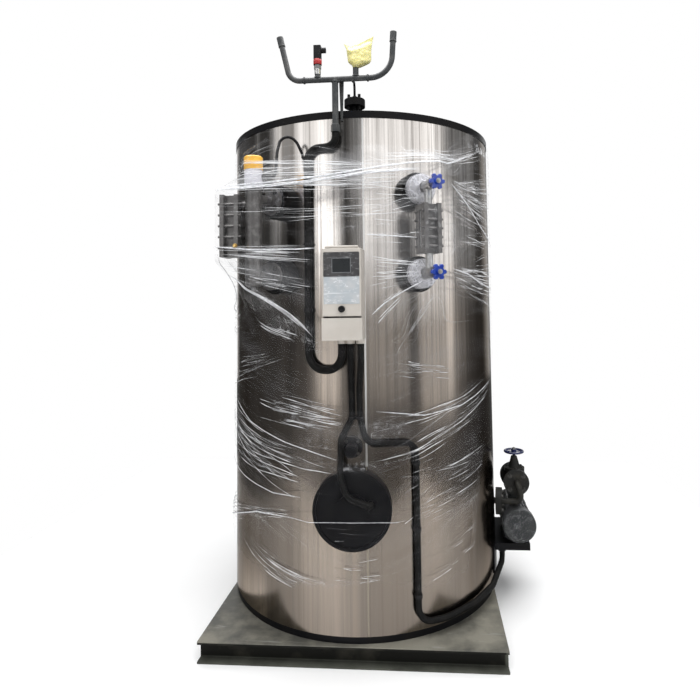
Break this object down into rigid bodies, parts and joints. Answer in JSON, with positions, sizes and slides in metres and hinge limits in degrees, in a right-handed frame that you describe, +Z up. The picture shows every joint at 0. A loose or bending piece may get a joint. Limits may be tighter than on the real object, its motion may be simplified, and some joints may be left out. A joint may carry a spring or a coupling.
{
  "type": "industrial boiler",
  "caption": "Upright steam boiler with polished round jacket on a channel base, level gauges with handwheels, control box, instrument header, conduits and side feed pump",
  "frame": {"origin": "at floor level under the middle of the drum, on the foot of the base joist", "axes": "+Z up, the front of the boiler with its control box faces -Y, +X to the right hand of someone who stands before it"},
  "size_m": [1.3726, 1.4308, 2.3639],
  "materials": {
    "base_paint": "olive-grey frame paint, scratched",
    "black_paint": "black paint",
    "raw_steel": "bare steel",
    "mineral_wool": "mineral wool mat",
    "polished_steel": "mirror-polished stainless sheet",
    "grey_paint": "dark grey paint",
    "black_plastic": "black plastic",
    "yellow_bag": "pale yellow film bag",
    "blue_paint": "blue enamel",
    "dark_blue_paint": "dark blue enamel",
    "gauge_steel": "grey steel",
    "white_plastic": "off-white plastic",
    "yellow_plastic": "yellow plastic",
    "white_paint": "warm white powder coat",
    "dark_panel": "dark membrane panel",
    "cast_iron": "dark cast iron",
    "clear_film": "clear stretch film, drawn white in streaks",
    "motor_paint": "dark grey paint under film"
  },
  "bodies": {
    "boiler": {"base_front_rail": "base_paint", "base_rear_rail": "base_paint", "base_left_rail": "base_paint", "base_right_rail": "base_paint", "base_joist": "base_paint", "base_plate": "base_paint", "bottom_ring": "black_paint", "pressure_vessel": "raw_steel", "insulation": "mineral_wool", "cladding_left": "polished_steel", "cladding_right": "polished_steel", "top_cover": "black_paint", "flue_collar": "grey_paint", "steam_outlet": "grey_paint", "instrument_branch": "black_paint", "instrument_header": "grey_paint", "header_left_arm": "grey_paint", "header_right_arm": "grey_paint", "header_bracket": "grey_paint", "pressure_transmitter": "black_plastic", "switch_bag": "yellow_bag", "level_nozzles": "black_paint", "upper_gauge_valve": "raw_steel", "lower_gauge_valve": "raw_steel", "level_gauge": "gauge_steel", "water_column": "gauge_steel", "probe_head": "white_plastic", "probe_cap": "yellow_plastic", "column_level_gauge": "gauge_steel", "control_box": "white_paint", "stretch_film": "clear_film", "probe_cable": "black_plastic", "header_conduit": "black_plastic", "cover_conduit": "black_plastic", "pump_conduit": "black_plastic", "conduit_clips": "black_plastic", "front_cover": "black_paint", "sight_port": "black_paint", "feed_nozzle": "cast_iron", "feed_pipe": "grey_paint", "feed_valve": "cast_iron", "feed_pump": "cast_iron", "pump_motor": "motor_paint", "pump_shelf": "black_paint", "blowdown_nozzle": "grey_paint"},
    "control_box_door": {"control_box_door": "white_paint", "display_panel": "dark_panel"},
    "upper_gauge_handwheel": {"upper_gauge_handwheel": "blue_paint"},
    "lower_gauge_handwheel": {"lower_gauge_handwheel": "blue_paint"},
    "feed_valve_handwheel": {"feed_valve_handwheel": "dark_blue_paint"}
  },
  "joints": [
    {"name": "door_hinge", "type": "hinge", "parent": "boiler", "child": "control_box_door", "pos_m": [0, -0.7195, 1.5355], "axis": [-1, 0, 0], "range_deg": [0, 100]},
    {"name": "upper_gauge_valve_turn", "type": "hinge", "parent": "boiler", "child": "upper_gauge_handwheel", "pos_m": [0.34739, -0.74499, 1.758], "axis": [0.4226, -0.9063, 0], "range_deg": [-360, 360]},
    {"name": "lower_gauge_valve_turn", "type": "hinge", "parent": "boiler", "child": "lower_gauge_handwheel", "pos_m": [0.34739, -0.74499, 1.438], "axis": [0.4226, -0.9063, 0], "range_deg": [-360, 360]},
    {"name": "feed_valve_turn", "type": "hinge", "parent": "boiler", "child": "feed_valve_handwheel", "pos_m": [0.696, -0.03024, 0.631], "axis": [0, 0, 1], "range_deg": [-720, 720]}
  ]
}
